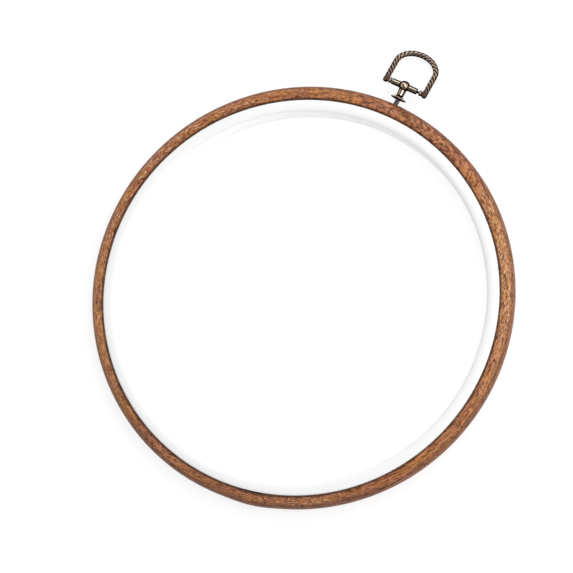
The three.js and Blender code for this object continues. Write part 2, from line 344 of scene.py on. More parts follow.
def makeGrainedRing(settings, material):
    size = {name: value * mm for name, value in settings.items() if not name.endswith("Steps")}
    bore = hoopRadius - size["width"]
    back, front = ringLow.z, ringHigh.z
    middle = (back + front) / 2
    edge = size["edgeRadius"]
    crownCentre = hoopRadius - size["crownReach"]
    grooveTop = middle + size["grooveHeight"] / 2
    grooveFoot = middle - size["grooveHeight"] / 2
    depth = size["grooveDepth"]
    seam = math.radians(settings["seamAngle"])
    flat = (crownCentre - bore - edge) / settings["flatSteps"]
    bm = bmesh.new()
    addRun(bm, [
        (bore + edge, back + edge, edge, edge, 180, 270, 5),
        (crownCentre, middle, size["crownReach"], (front - back) / 2, -90, 90, settings["crownSteps"]),
        *[(crownCentre - flat * step, front) for step in range(1, settings["flatSteps"])],
        (bore + edge, front - edge, edge, edge, 90, 180, 6),
        (bore, grooveTop),
        (bore + depth, grooveTop - depth),
        (bore + depth, grooveFoot + depth),
        (bore, grooveFoot),
    ], closed=True)
    turnRun(bm, (0, 0, 1), settings["turnSteps"])
    mapAlongRing(bm, (bore, front), seam)
    pressGrain(bm, settings, (bore, front), seam)

    # The stem's hole, cut from the widest point inwards where the hanger stands
    drill = bmesh.new()
    holeFoot = hoopRadius - size["stemHoleDepth"]
    holeTop = hoopRadius + overshoot
    radius = size["stemHoleRadius"]
    addRun(drill, [(0, holeFoot), (radius, holeFoot), (radius, holeTop), (0, holeTop)], closed=False)
    turnRun(drill, (0, 0, 1), settings["holeSteps"])
    turnAll(drill, -90, "X")
    moveAll(drill, (0, 0, middle))
    ring = shaped(bm, lambda passing: [
        addBoolean(passing, passingObject("stemDrill", drill), "DIFFERENCE")])
    moveAll(ring, (hoopCentre.x, hoopCentre.y, 0))
    finishPiece("grainedRing", ring, "outer_ring", "outer_ring", material)


# White plastic ring

innerSettings = {
    "width": 5.1,
    "lipReach": 1.7,
    "lipHeight": 0.8,
    "ribProud": 0.25,
    "ribHeight": 1.5,
    "crownRise": 1.5,
    "crownSpread": 0.37,    # how far the crown reaches over the wall and hides the running gap
    "outerRise": 0.62,      # of the crown's outer half, which meets the vinyl high up
    "bevel": 0.35,
    "turnSteps": 360,
}


def makeInnerRing(settings, material):
    size = {name: value * mm for name, value in settings.items() if name != "turnSteps"}
    lip = (innerHigh.x - innerLow.x) / 2
    wall = lip - size["lipReach"]
    bore = wall - size["width"]
    front = innerHigh.z
    middle = (ringLow.z + ringHigh.z) / 2
    ribTop = middle + size["ribHeight"] / 2
    ribFoot = middle - size["ribHeight"] / 2
    proud = size["ribProud"]
    bevel = size["bevel"]
    half = size["width"] / 2
    bm = bmesh.new()
    addRun(bm, [
        (bore + bevel, bevel, bevel, bevel, 180, 270, 5),
        (lip - bevel, bevel, bevel, bevel, -90, 0, 5),
        (lip - bevel, size["lipHeight"] - bevel, bevel, bevel, 0, 90, 5),
        (wall, size["lipHeight"]),
        (wall, ribFoot),
        (wall + proud, ribFoot + proud),
        (wall + proud, ribTop - proud),
        (wall, ribTop),
        (wall + size["crownSpread"], ribTop + size["crownSpread"]),
        (bore + half, front - size["outerRise"], half + size["crownSpread"], size["outerRise"], 0, 90, 16),
        (bore + half, front - size["crownRise"], half, size["crownRise"], 90, 180, 16),
    ], closed=True)
    turnRun(bm, (0, 0, 1), settings["turnSteps"])
    moveAll(bm, (hoopCentre.x, hoopCentre.y - ringSettings["settle"] * mm, 0))
    finishPiece("whiteRing", bm, "inner_ring", "inner_ring", material)


# Hanger

# Marks where a surface stands out or falls in: 1 on crests, 0 in hollows, 0.5 where it is flat.
# A much smoothed copy lies inside the crests and outside the hollows. The span is the height in
# millimetres that counts as a whole crest.
def markCrests(bm, rounds, span):
    layer = bm.verts.layers.float.get("crest") or bm.verts.layers.float.new("crest")
    bm.normal_update()
    places = [vert.co.copy() for vert in bm.verts]
    for _ in range(rounds):
        bmesh.ops.smooth_vert(
            bm, verts=bm.verts, factor=0.5, use_axis_x=True, use_axis_y=True, use_axis_z=True)
    for vert, place in zip(bm.verts, places):
        standing = (place - vert.co).dot(vert.normal) / (span * mm)
        vert[layer] = min(max(0.5 + 0.5 * standing, 0), 1)
        vert.co = place
    bm.normal_update()


headSettings = {
    "flangeLevel": 2.4,          # above the ring's outer face, along the stem
    "flangeRadius": 3.45,
    "flangeThickness": 1.55,
    "flangeRimLevel": 0.33,
    "flangeRimThickness": 0.3,
    "flangeTopStep": 0.1,
    "bareRim": 0.9,              # width of the flange's edge that is rubbed bare all round
    "neckGrooveRadius": 1.32,
    "neckGrooveDepth": 0.2,
    "neckGrooveHeight": 0.35,
    "neckTopRadius": 1.58,
    "ballRadius": 2.35,
    "tubeRadius": 1.33,
    "tubeHalfLength": 5.85,
    "tubeMouthBevel": 0.15,
    "pinBoreRadius": 0.72,
    "pinBoreDepth": 3.27,
    "stemHoleRadius": 1.0,
    "stemHoleDepth": 3.4,
    "footRadius": 1.1,
    "turnSteps": 96,
    "tubeSteps": 64,
    "boreSteps": 48,
    "voxel": 0.08,
    "smoothing": 5,
    "crestRounds": 40,
    "crestSpan": 0.12,
    "bareLift": 0.8,             # of the crest mark above 1 on the bare edge
}


def makeHangerHead(settings, material):
    size = {name: value * mm for name, value in settings.items()}
    level = size["flangeLevel"] - (hinge.y - ringHigh.y)
    top = level + size["flangeThickness"]
    groove = size["neckGrooveRadius"]
    foot = groove + size["neckGrooveDepth"]
    ball = size["ballRadius"]
    join = math.degrees(math.acos(size["neckTopRadius"] / ball))
    bm = bmesh.new()
    addRun(bm, [
        (0, level),
        (size["footRadius"], level),
        (size["flangeRadius"], level + size["flangeRimLevel"]),
        (size["flangeRadius"], level + size["flangeRimLevel"] + size["flangeRimThickness"]),
        (foot, top - size["flangeTopStep"]),
        (groove, top),
        (groove, top + size["neckGrooveHeight"]),
        (foot, top + size["neckGrooveHeight"]),
        (0, 0, ball, ball, -join, 90, 40),
    ], closed=False)
    turnRun(bm, (0, 0, 1), settings["turnSteps"])

    def turnedX(run, name):
        other = bmesh.new()
        addRun(other, run, closed=False)
        turnRun(other, (0, 0, 1), settings["tubeSteps"])
        turnAll(other, 90, "Y")
        return passingObject(name, other)

    radius = size["tubeRadius"]
    half = size["tubeHalfLength"]
    bevel = size["tubeMouthBevel"]
    tubeRun = [
        (0, -half),
        (radius - bevel, -half + bevel, bevel, bevel, -90, 0, 4),
        (radius - bevel, half - bevel, bevel, bevel, 0, 90, 4),
        (0, half),
    ]
    bore = size["pinBoreRadius"]
    inner = half - size["pinBoreDepth"]
    past = half + overshoot
    leftRun = [(0, -past), (bore, -past), (bore, -inner), (0, -inner)]
    rightRun = [(0, inner), (bore, inner), (bore, past), (0, past)]
    holeRadius = size["stemHoleRadius"]
    holeTop = level + size["stemHoleDepth"]
    below = level - overshoot
    stemCutter = bmesh.new()
    addRun(stemCutter, [(0, below), (holeRadius, below), (holeRadius, holeTop), (0, holeTop)], closed=False)
    turnRun(stemCutter, (0, 0, 1), settings["boreSteps"])

    def joinAndCut(passing):
        helpers = [
            addBoolean(passing, turnedX(tubeRun, "crossTube"), "UNION"),
            addBoolean(passing, turnedX(leftRun, "leftBore"), "DIFFERENCE"),
            addBoolean(passing, turnedX(rightRun, "rightBore"), "DIFFERENCE"),
            addBoolean(passing, passingObject("stemBore", stemCutter), "DIFFERENCE"),
        ]
        cast = passing.modifiers.new("cast", "REMESH")
        cast.mode = "VOXEL"
        cast.voxel_size = size["voxel"]
        soft = passing.modifiers.new("soft", "SMOOTH")
        soft.factor = 0.5
        soft.iterations = settings["smoothing"]
        return helpers

    head = shaped(bm, joinAndCut)
    # The head was turned about Z, and its stem side points to -Y
    turnAll(head, -90, "X")
    moveAll(head, hinge)
    markCrests(head, settings["crestRounds"], settings["crestSpan"])
    crest = head.verts.layers.float["crest"]
    for vert in head.verts:
        reach = math.hypot(vert.co.x - hinge.x, vert.co.z - hinge.z)
        bare = smoothShare(reach, size["flangeRadius"] - size["bareRim"], size["flangeRadius"])
        if bare > 0 and vert.co.y < hinge.y - ball:
            vert[crest] = 1 + settings["bareLift"] * bare
    finishPiece("hangerHead", head, "hanger", "hanger_head", material)


stemSettings = {
    "crestRadius": 1.1,
    "threadDepth": 0.17,
    "pitch": 1.0,
    "rootShare": 0.28,      # of the pitch, where the thread's root ends
    "crestShare": 0.45,     # and where its crest begins
    "stepsPerTurn": 28,
    "mergeReach": 0.002,    # from one pitch to the next
    "cutReach": 0.0001,     # of the planes that cut the thread to length
    "tipLength": 0.8,
    "tipRadius": 0.2,
    "embedment": 4.6,       # inside the vinyl ring
    "shankLength": 3.2,     # inside the head
    "shankGap": 0.2,
    "crestRounds": 6,
    "crestSpan": 0.08,
}


def makeHangerStem(settings, material):
    size = {name: value * mm for name, value in settings.items()}
    crest = size["crestRadius"]
    root = crest - size["threadDepth"]
    pitch = size["pitch"]
    rootShare = settings["rootShare"] * pitch
    crestShare = settings["crestShare"] * pitch
    tip = ringHigh.y - hinge.y - size["embedment"]
    threadTop = headSettings["flangeLevel"] * mm - (hinge.y - ringHigh.y) - size["shankGap"]
    turns = math.ceil((threadTop - tip) / pitch) + 2
    bm = bmesh.new()
    # One pitch of the thread's outline, screwed up the stem
    addRun(bm, [
        (root, tip - pitch),
        (root, tip - pitch + rootShare),
        (crest, tip - pitch + crestShare),
        (crest, tip - crestShare),
        (root, tip - rootShare),
        (root, tip),
    ], closed=False)
    steps = turns * settings["stepsPerTurn"]
    bmesh.ops.spin(
        bm, geom=bm.verts[:] + bm.edges[:], cent=(0, 0, 0), axis=(0, 0, 1),
        dvec=(0, 0, pitch / settings["stepsPerTurn"]), angle=2 * math.pi * turns, steps=steps,
        use_duplicate=False)
    bmesh.ops.remove_doubles(bm, verts=bm.verts, dist=size["mergeReach"])
    for level, side in ((tip, False), (threadTop, True)):
        cut = bmesh.ops.bisect_plane(
            bm, geom=bm.verts[:] + bm.edges[:] + bm.faces[:], dist=size["cutReach"],
            plane_co=(0, 0, level), plane_no=(0, 0, 1), clear_inner=not side, clear_outer=side)
        rim = [part for part in cut["geom_cut"] if isinstance(part, bmesh.types.BMEdge)]
        capped = bmesh.ops.contextual_create(bm, geom=rim)
        if side:
            # The plain shank goes on from the thread's last face
            shank = bmesh.ops.extrude_discrete_faces(bm, faces=capped["faces"])
            rise = size["shankLength"] + size["shankGap"]
            bmesh.ops.translate(bm, vec=(0, 0, rise), verts=shank["faces"][0].verts)
    # The point of the stem
    for vert in bm.verts:
        rise = (vert.co.z - tip) / size["tipLength"]
        if rise < 1:
            reach = math.hypot(vert.co.x, vert.co.y)
            if reach > 0:
                narrowed = size["tipRadius"] + (reach - size["tipRadius"]) * max(rise, 0)
                vert.co.x *= narrowed / reach
                vert.co.y *= narrowed / reach
    bmesh.ops.recalc_face_normals(bm, faces=bm.faces)
    turnAll(bm, -90, "X")
    moveAll(bm, hinge)
    markCrests(bm, settings["crestRounds"], settings["crestSpan"])
    finishPiece("hangerStem", bm, "hanger", "hanger_stem", material)


loopSettings = {
    "innerHalfWidth": 7.85,
    "legLength": 9.4,
    "archRise": 6.7,
    "footDrop": 1.25,
    "legWireRadius": 1.18,
    "archWireRadius": 1.24,
    "strandDepth": 0.18,
    "strandCount": 4,
    "strandPitch": 1.8,     # from strand to strand along the wire
    "endRound": 0.3,        # of the wire's ends under the beads
    "beadRadius": 1.2,
    "beadLength": 1.4,
    "beadBevel": 0.55,
    "beadGroove": 0.22,     # between the bead and the corner
    "collarRadius": 1.04,   # where the bead runs into the wire
    "beadCrest": 0.85,      # how far the polishing reached the beads
    "cornerCrest": 0.42,    # and the plain corners
    "legPolish": 0.66,      # of the legs' crests, against the arch's
    "pinRadius": 0.52,
    "pinLength": 2.4,
    "pinBevel": 0.1,
    "footSteps": 48,
    "shift": 0.42,          # how far it has slid to the right in the cross tube
    "tableGap": 0.05,       # under the arch, which has dropped to the table
    "sectionPoints": 40,
    "stepsPerMillimetre": 7,
    "bowSteps": 48,
    "legPull": 0.3,         # of the leg, for the handles of the bow along it
    "quarterPull": 0.5523,  # of a radius, for the handles that make a quarter of an ellipse
}


def makeHangerLoop(settings, material):
    size = {name: value * mm for name, value in settings.items()}
    halfWidth = size["innerHalfWidth"] + size["legWireRadius"]
    leg, rise, drop = size["legLength"], size["archRise"], size["footDrop"]
    droop = math.asin((hinge.z - size["archWireRadius"] - size["tableGap"]) / (leg + rise))

    # The bow that the wire follows
    bowData = bpy.data.curves.new("bow", "CURVE")
    bowData.dimensions = "2D"
    bowData.resolution_u = settings["bowSteps"]
    spline = bowData.splines.new("BEZIER")
    spline.bezier_points.add(4)
    legPull = settings["legPull"] * leg
    risePull = settings["quarterPull"] * rise
    widthPull = settings["quarterPull"] * halfWidth
    knots = [
        ((-halfWidth, -drop), (0, -1), (0, 1), legPull, legPull),
        ((-halfWidth, leg), (0, -1), (0, 1), legPull, risePull),
        ((0, leg + rise), (-1, 0), (1, 0), widthPull, widthPull),
        ((halfWidth, leg), (0, 1), (0, -1), risePull, legPull),
        ((halfWidth, -drop), (0, 1), (0, -1), legPull, legPull),
    ]
    for knot, (place, leftWay, rightWay, leftPull, rightPull) in zip(spline.bezier_points, knots):
        at = Vector((*place, 0))
        knot.co = at
        knot.handle_left = at + Vector((*leftWay, 0)) * leftPull
        knot.handle_right = at + Vector((*rightWay, 0)) * rightPull
    length = spline.calc_length()

    # A straight bar of strands, twisted as it is drawn along X
    lead = size["strandCount"] / mm * size["strandPitch"]
    steps = round(length / mm * settings["stepsPerMillimetre"])
    bm = bmesh.new()
    bmesh.ops.create_circle(
        bm, radius=size["archWireRadius"], segments=settings["sectionPoints"], cap_ends=False)
    turnAll(bm, 90, "Y")
    bmesh.ops.spin(
        bm, geom=bm.verts[:] + bm.edges[:], cent=(0, 0, 0), axis=(1, 0, 0), dvec=(length / steps, 0, 0),
        angle=-2 * math.pi * length / lead, steps=steps, use_duplicate=False)
    bmesh.ops.holes_fill(bm, edges=[edge for edge in bm.edges if edge.is_boundary], sides=0)
    plain = drop + size["beadRadius"] / 2       # length of the corners, which aren't twisted
    crestLayer = bm.verts.layers.float.new("crest")
    for vert in bm.verts:
        along = vert.co.x
        fromEnd = min(along, length - along)
        twist = smoothShare(fromEnd, plain, plain + size["strandPitch"] / 2)
        swell = smoothShare(fromEnd, plain, length / 2)
        turn = math.atan2(vert.co.z, vert.co.y) + 2 * math.pi * along / lead
        hump = abs(math.cos(turn * settings["strandCount"] / 2))
        radius = size["legWireRadius"] + (size["archWireRadius"] - size["legWireRadius"]) * swell
        radius -= size["strandDepth"] * (1 - hump) * twist
        radius -= size["endRound"] * (1 - smoothShare(fromEnd, 0, 2 * size["endRound"])) ** 2
        scale = radius / math.hypot(vert.co.y, vert.co.z)
        vert.co.y *= scale
        vert.co.z *= scale
        polish = settings["legPolish"] + (1 - settings["legPolish"]) * swell
        vert[crestLayer] = hump * polish * twist + settings["cornerCrest"] * (1 - twist)

    def bend(passing):
        bow = bpy.data.objects.new("bow", bowData)
        bpy.context.scene.collection.objects.link(bow)
        modifier = passing.modifiers.new("bend", "CURVE")
        modifier.object = bow
        return [bow]

    wire = shaped(bm, bend)

    # Beads and pins on both feet
    beadStart = size["innerHalfWidth"] - size["beadLength"]
    pin = size["pinRadius"]
    pinEnd = headSettings["tubeHalfLength"] * mm - size["pinLength"]
    bevel = size["beadBevel"]
    groove = size["beadGroove"]
    bead = size["beadRadius"]
    collar = size["collarRadius"]
    feet = bmesh.new()
    addRun(feet, [
        (0, pinEnd),
        (pin - size["pinBevel"], pinEnd),
        (pin, pinEnd + size["pinBevel"]),
        (pin, beadStart),
        (bead - bevel, beadStart + bevel, bevel, bevel, -90, 0, 8),
        (bead, size["innerHalfWidth"] - 2 * groove),
        (bead - groove, size["innerHalfWidth"] - groove),
        (collar, size["innerHalfWidth"]),
        (collar, halfWidth),
        (0, halfWidth),
    ], closed=False)
    turnRun(feet, (0, 0, 1), settings["footSteps"])
    turnAll(feet, 90, "Y")
    feet.verts.layers.float.new("crest")
    rightFoot = feet.copy()
    turnAll(feet, 180, "Z")

    loop = shaped(wire, lambda passing: [
        addBoolean(passing, passingObject("rightFoot", rightFoot), "UNION"),
        addBoolean(passing, passingObject("leftFoot", feet), "UNION")])
    # The join clears the marks of the feet, so they are set here: corner, bead, then pin
    crest = loop.verts.layers.float["crest"]
    cornerStart = size["innerHalfWidth"] - 1.5 * groove     # halfway up the groove's inner slope
    beadShows = beadStart + bevel / 4
    for vert in loop.verts:
        out = abs(vert.co.x)
        if vert.co.y > bead or out > halfWidth:
            continue
        if out > cornerStart:
            vert[crest] = max(vert[crest], settings["cornerCrest"])
        else:
            vert[crest] = settings["beadCrest"] if out > beadShows else 0
    place = Matrix.Translation(hinge + Vector((size["shift"], 0, 0))) @ Matrix.Rotation(-droop, 4, "X")
    bmesh.ops.transform(loop, matrix=place, verts=loop.verts)
    finishPiece("hangerLoop", loop, "hanger_loop", "hanger_loop", material)


# Materials

# Calendered PVC with a pressed wood grain, wiped with brown so that the hollows stay dark and
# the raised lines look tan; a soft satin shine. Lengths of the pattern run along the ring.
vinylSettings = {
    "tones": {"brown": "#A0643C", "tan": "#B0784A", "umber": "#98603C"},
    "zones": [      # share of the way round from the seam: thin wiping is tan, thick is umber
        (0.0, "brown"), (0.2, "tan"), (0.3, "brown"), (0.6, "brown"), (0.7, "tan"), (0.8, "umber"),
        (1.0, "umber")],
    "figure": [     # amount of grain lines, light flecks and dark pores round the ring
        (0.0, (1.0, 0.1, 0.3)), (0.05, (0.7, 0.1, 0.5)), (0.09, (0.35, 0.15, 0.9)),
        (0.13, (0.5, 0.15, 0.4)), (0.17, (0.4, 1.0, 0.9)), (0.24, (0.4, 0.9, 0.7)),
        (0.28, (1.0, 0.35, 0.9)), (0.35, (1.0, 0.4, 0.6)), (0.44, (0.7, 0.4, 0.4)),
        (0.53, (0.4, 0.85, 0.4)), (0.63, (0.3, 0.85, 0.3)), (0.68, (0.25, 0.15, 0.25)),
        (0.78, (0.4, 0.2, 0.4)), (0.83, (1.0, 0.45, 0.4)), (0.88, (0.2, 0.15, 0.3)),
        (0.95, (0.3, 1.0, 0.3)), (0.98, (0.3, 0.1, 0.2))],
    "darkShare": (0.36, 0.28, 0.23),    # of the tone, in the hollows
    "lightShare": (1.50, 1.62, 1.82),   # on the raised lines
    "goldShare": (1.05, 1.02, 0.82),    # of the tone, where the wiped colour leans to gold
    "redShare": (0.97, 0.93, 1.04),
    "clouds": {     # length along the ring and width across it, each with its own seed
        "contour": {"length": 17, "width": 5.2, "detail": 1, "seed": 7.7},
        "eye": {"length": 10, "width": 6.5, "detail": 1, "seed": 12.4, "rough": 0.4},
        "eyeZone": {"length": 26, "width": 16, "detail": 0, "seed": 18.3, "low": 0.49, "high": 0.57},
        "lineZone": {"length": 7, "width": 2.4, "detail": 1, "seed": 25.1, "low": 0.36, "high": 0.62},
        "streak": {"length": 4.6, "width": 0.55, "detail": 2, "seed": 3.1, "rough": 0.6, "swing": 1.7},
        "blotch": {"length": 5.0, "width": 2.0, "detail": 2, "seed": 14.6, "rough": 0.6, "swing": 0.8},
        "speck": {"length": 1.2, "width": 0.66, "detail": 1, "seed": 31.7, "rough": 0.6, "swing": 2.1},
        "rising": {"length": 1.7, "width": 0.55, "detail": 1, "seed": 33.9, "slant": 0.32},
        "falling": {"length": 1.7, "width": 0.55, "detail": 1, "seed": 52.3, "slant": -0.26},
        "leanZone": {"length": 34, "width": 30, "detail": 0, "seed": 61.7, "low": 0.45, "high": 0.55},
        "fleckFray": {"length": 0.7, "width": 0.3, "detail": 2, "seed": 71.5, "swing": 0.16},
        "pore": {"length": 2.0, "width": 0.6, "detail": 2, "seed": 21.3, "rough": 0.55, "slant": -0.1,
                 "low": 0.58, "high": 0.72},
        "knotFray": {"length": 2.2, "width": 0.9, "detail": 2, "seed": 44.4, "swing": 1.6},
        "warmZone": {"length": 8, "width": 3.2, "detail": 1, "seed": 81.3, "low": 0.4, "high": 0.6},
    },
    "seedStretch": 1.7,     # moves a cloud further across than along
    "contours": 3.4, "contourPitch": 1.75, "eyes": 7.0,
    "faintLines": 0.25, "strongLines": 0.44,
    "fleckLow": 0.56, "fleckHigh": 0.66, "fleckMost": 0.8, "fleckRelief": 0.4,
    "poreMost": 0.85,
    "knotCore": 0.45, "knotEdge": 1.15, "knotMost": 0.8,    # of a knot's half size
    "knots": [      # degrees from the seam, millimetres across, length and width
        (0.4, 6.6, 2.4, 2.2), (359.6, 6.6, 2.4, 2.2), (21.0, 4.4, 8.5, 0.8), (30.0, 3.4, 9.0, 0.7),
        (12.5, 5.6, 5.0, 0.8), (117.0, 1.2, 2.6, 1.4), (109.3, 4.4, 1.6, 0.9), (110.6, 2.5, 1.3, 0.8),
        (83.2, 3.9, 1.4, 0.8), (84.8, 1.6, 1.6, 1.0), (124.8, 3.3, 1.1, 0.7), (152.0, 2.4, 3.2, 0.6),
        (47.5, 3.0, 1.5, 2.6), (56.5, 4.6, 1.3, 0.9), (66.0, 2.8, 3.0, 0.6), (246.0, 2.6, 1.1, 0.9)],
    # painted highlight along the middle of the crown
    "crownHighlight": 0.08,
    # Places across the section, from the front inner edge, between which something changes
    "crownMiddle": 3.3, "crownEnds": (0.3, 1.7),            # from the crown's middle
    "fleckStarts": (0.9, 1.6), "fleckEnds": (4.6, 6.0),
    # painted shade down the outer side
    "paintedSideEnds": (4.3, 6.4), "paintedSideShade": (0.60, 0.56, 0.56),
    # painted shade along the inner edge, in the gap next to the white ring
    "edgeShadeEnds": (0.5, 1.15), "edgeShadeShare": 0.78,
    "edgeShadeColour": "#30190F", "fleckColour": "#E6BE96", "poreColour": "#5E2A12",
    "roughness": 0.45, "refraction": 1.53, "reflection": 0.3,
    "relief": 0.06,
}


def makeVinyl(settings):
    material, tree = newMaterial("wipedGrainVinyl")
    alongRing = addNode(tree, "UVMap", {"uv_map": "alongRing"}, out="UV")
    split = addNode(tree, "SeparateXYZ", inputs={0: alongRing})
    along, across = split.outputs["X"], split.outputs["Y"]

    # A cloud stretched along the ring; slant leans it across the ring
    def cloud(name):
        way = {"rough": 0.5, "slant": 0.0, **settings["clouds"][name]}
        leaned = addNode(tree, "Math", multiplyAdd, {0: along, 1: way["slant"], 2: across}, 0)
        place = addNode(tree, "CombineXYZ", inputs={0: along, 1: leaned}, out=0)
        scale = (1 / (way["length"] * mm), 1 / (way["width"] * mm), 0)
        offset = (way["seed"], way["seed"] * settings["seedStretch"], way["seed"])
        scaled = addNode(tree, "VectorMath", multiplyAdd, {0: place, 1: scale, 2: offset}, 0)
        return addNode(tree, "TexNoise", inputs={
            "Vector": scaled, "Scale": 1, "Detail": way["detail"], "Roughness": way["rough"]}, out="Fac")

    # The same cloud about zero, as strong as its swing
    def swing(name):
        level = addNode(tree, "Math", subtract, {0: cloud(name), 1: 0.5}, 0)
        return addNode(tree, "Math", multiply, {0: level, 1: settings["clouds"][name]["swing"]}, 0)

    # Patches where a cloud stands high, with soft edges between its low and its high limit
    def patches(name, first=0.0, last=1.0):
        way = settings["clouds"][name]
        return addNode(tree, "MapRange", softStep, {
            "Value": cloud(name), "From Min": way["low"], "From Max": way["high"],
            "To Min": first, "To Max": last}, "Result")

    # A share that goes from first to last between two places across the section
    def fadeAcross(ends, first, last, place=across):
        return addNode(tree, "MapRange", softStep, {
            "Value": place, "From Min": ends[0] * mm, "From Max": ends[1] * mm,
            "To Min": first, "To Max": last}, "Result")

    # Multiplies a colour by a share that runs from one vector to another
    def shaded(colour, factor, first, last):
        shares = addNode(tree, "Mix", {"data_type": "VECTOR"}, {0: factor, 4: first, 5: last}, 1)
        return addNode(tree, "VectorMath", multiply, {0: colour, 1: shares}, 0)

    share = addNode(tree, "Math", {"operation": "DIVIDE"}, {0: along, 1: 2 * math.pi * hoopRadius}, 0)
    zones = [(place, settings["tones"][name]) for place, name in settings["zones"]]
    tone = addNode(tree, "ValToRGB", {"stops": zones}, {"Fac": share}, "Color")
    figure = addNode(tree, "ValToRGB", {"stops": settings["figure"]}, {"Fac": share}, "Color")
    lineAmount, fleckAmount, poreAmount = addNode(tree, "SeparateXYZ", inputs={0: figure}).outputs

    # Grain lines follow the contours of a slow cloud, and close into eyes here and there
    hills = addNode(tree, "Math", multiply, {0: cloud("contour"), 1: settings["contours"]}, 0)
    pitch = settings["contourPitch"] * mm
    climb = addNode(tree, "Math", multiplyAdd, {0: across, 1: 1 / pitch, 2: hills}, 0)
    rings = addNode(tree, "Math", multiply, {0: cloud("eye"), 1: settings["eyes"]}, 0)
    waves = []
    for turns in (climb, rings):
        angle = addNode(tree, "Math", multiply, {0: turns, 1: 2 * math.pi}, 0)
        waves.append(addNode(tree, "Math", {"operation": "SINE"}, {0: angle}, 0))
    lines = addNode(tree, "Mix", mixValues, {0: patches("eyeZone"), 2: waves[0], 3: waves[1]}, 0)
    strength = patches("lineZone", settings["faintLines"], settings["strongLines"])
    strength = addNode(tree, "Math", multiply, {0: strength, 1: lineAmount}, 0)
    grain = addNode(tree, "Math", multiplyAdd, {0: lines, 1: strength, 2: 0.5}, 0)
    for name in ("streak", "blotch", "speck"):
        grain = addNode(tree, "Math", add, {0: swing(name), 1: grain}, 0)

    # Painted highlight: the crown is made a little lighter along its middle
    offCrown = addNode(tree, "Math", subtract, {0: across, 1: settings["crownMiddle"] * mm}, 0)
    offCrown = addNode(tree, "Math", absolute, {0: offCrown}, 0)
    paintedCrownLight = fadeAcross(settings["crownEnds"], settings["crownHighlight"], 0.0, offCrown)
    grain = addNode(tree, "Math", {"operation": "ADD", "use_clamp": True}, {0: grain, 1: paintedCrownLight}, 0)

    # Short light flecks lean one way or the other
    leaning = addNode(tree, "Mix", mixValues, {
        0: patches("leanZone"), 2: cloud("rising"), 3: cloud("falling")}, 0)
    frayed = addNode(tree, "Math", add, {0: swing("fleckFray"), 1: leaning}, 0)
    flecks = addNode(tree, "MapRange", softStep, {
        "Value": frayed, "From Min": settings["fleckLow"], "From Max": settings["fleckHigh"]}, "Result")
    most = addNode(tree, "MapRange", softStep, {
        "Value": fleckAmount, "To Max": settings["fleckMost"]}, "Result")
    for limit in (
            most, fadeAcross(settings["fleckEnds"], 1.0, 0.0), fadeAcross(settings["fleckStarts"], 0.0, 1.0)):
        flecks = addNode(tree, "Math", multiply, {0: flecks, 1: limit}, 0)

    # Pores hold the most of the wiped colour
    most = addNode(tree, "MapRange", softStep, {
        "Value": poreAmount, "To Max": settings["poreMost"]}, "Result")
    pores = addNode(tree, "Math", multiply, {0: patches("pore"), 1: most}, 0)

    # Knots and long dark streaks, each an ellipse with a soft edge that a cloud frays
    fray = swing("knotFray")
    for degrees, out, length, width in settings["knots"]:
        place = (math.radians(degrees) * hoopRadius, out * mm, 0)
        away = addNode(tree, "VectorMath", subtract, {0: alongRing, 1: place}, 0)
        away = addNode(tree, "VectorMath", multiply, {
            0: away, 1: (2 / (length * mm), 2 / (width * mm), 0)}, 0)
        distance = addNode(tree, "VectorMath", {"operation": "LENGTH"}, {0: away}, "Value")
        distance = addNode(tree, "Math", add, {0: fray, 1: distance}, 0)
        knot = addNode(tree, "MapRange", softStep, {
            "Value": distance, "From Min": settings["knotCore"], "From Max": settings["knotEdge"],
            "To Min": settings["knotMost"], "To Max": 0.0}, "Result")
        pores = addNode(tree, "Math", maximum, {0: pores, 1: knot}, 0)

    colour = shaded(tone, patches("warmZone"), settings["redShare"], settings["goldShare"])
    colour = shaded(colour, grain, settings["darkShare"], settings["lightShare"])
    for amount, name in ((flecks, "fleckColour"), (pores, "poreColour")):
        colour = addNode(tree, "Mix", mixColours, {
            0: amount, 6: colour, 7: linearColour(settings[name])}, 2)

    # Painted shade: the colour darkens down the outer side, and along the inner edge next to the white ring
    side = fadeAcross(settings["paintedSideEnds"], 0.0, 1.0)
    colour = shaded(colour, side, (1, 1, 1), settings["paintedSideShade"])
    # Painted shade along the inner edge, where the ring meets the white one
    inner = fadeAcross(settings["edgeShadeEnds"], settings["edgeShadeShare"], 0.0)
    colour = addNode(tree, "Mix", mixColours, {
        0: inner, 6: colour, 7: linearColour(settings["edgeShadeColour"])}, 2)

    height = addNode(tree, "Math", multiplyAdd, {0: flecks, 1: settings["fleckRelief"], 2: grain}, 0)
    height = addNode(tree, "Math", subtract, {0: height, 1: pores}, 0)
    bump = addNode(tree, "Bump", inputs={
        "Strength": 1.0, "Distance": settings["relief"] * mm, "Height": height})
    shader = addNode(tree, "BsdfPrincipled", inputs={
        "Base Color": colour, "Roughness": settings["roughness"], "IOR": settings["refraction"],
        "Specular IOR Level": settings["reflection"], "Normal": bump.outputs["Normal"]})
    addNode(tree, "OutputMaterial", inputs={"Surface": shader.outputs["BSDF"]})
    return material


# Injection-moulded polystyrene: clean white, soft gloss, with faint flow marks, and a painted grey line of
# shade along the front edge of the bore, where the surface turns down into the inner wall
whiteSettings = {
    "colour": "#FDFDFD", "shade": "#FBFCFC", "roughness": 0.36, "refraction": 1.59,
    "flow": 14, "relief": 0.012,
    # painted shade: a grey line just inside the bore's front edge
    "edgeShadeInset": 0.75, "edgeShadeHalf": 0.55, "edgeShadeColour": "#DCDFE4", "edgeShadeShare": 0.35}


